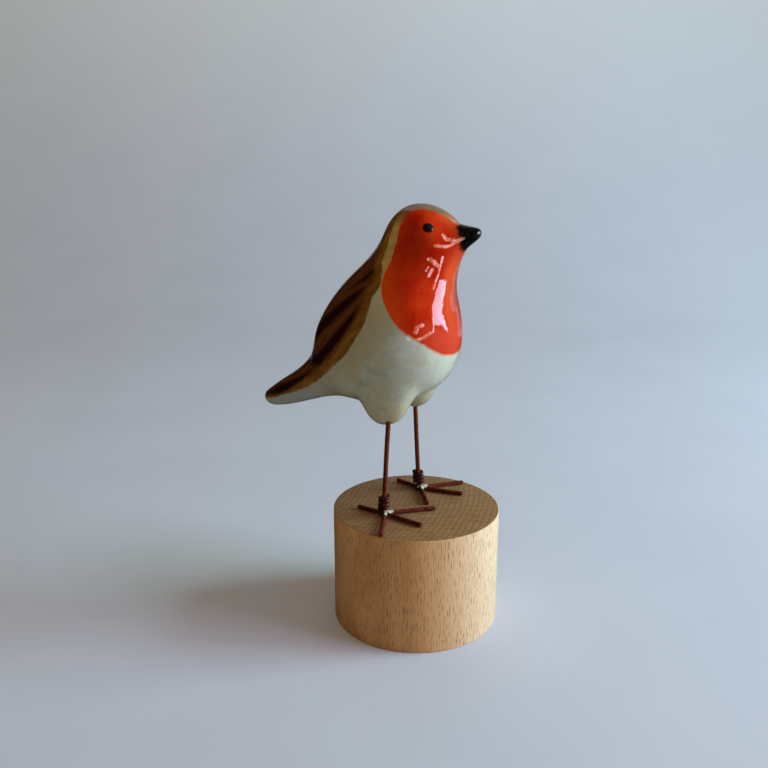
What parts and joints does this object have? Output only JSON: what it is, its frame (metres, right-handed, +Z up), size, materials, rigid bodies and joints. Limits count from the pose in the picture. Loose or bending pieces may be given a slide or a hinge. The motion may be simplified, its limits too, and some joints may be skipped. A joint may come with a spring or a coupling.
{
  "type": "glazed ceramic robin ornament",
  "caption": "Small glazed ceramic robin on copper-wire legs with soldered toes, standing on a turned beech block.",
  "frame": {"origin": "middle of the round block's flat underside", "axes": "+Z up; +X is the way the bird faces; +Y is the bird's left"},
  "size_m": [0.0793, 0.0503, 0.1246],
  "materials": {
    "painted_glaze": "painted under a clear high-gloss glaze: orange-red face and breast, brown back, pale belly, black bill",
    "black_glaze": "glossy black",
    "copper_wire": "tarnished copper wire",
    "dark_copper": "copper wire darkened by heat and flux",
    "solder": "bright soft solder",
    "beech": "turned beech, fine sanded, unvarnished"
  },
  "bodies": {
    "root": {"ceramic_body": "painted_glaze", "eye_left": "black_glaze", "eye_right": "black_glaze", "leg_left": "copper_wire", "leg_right": "copper_wire", "binding_left": "dark_copper", "binding_right": "dark_copper", "solder_left": "solder", "solder_right": "solder", "toe_left_inner": "copper_wire", "toe_left_middle": "copper_wire", "toe_left_outer": "copper_wire", "toe_left_hind": "copper_wire", "toe_right_inner": "copper_wire", "toe_right_middle": "copper_wire", "toe_right_outer": "copper_wire", "toe_right_hind": "copper_wire", "base_block": "beech"}
  },
  "joints": []
}
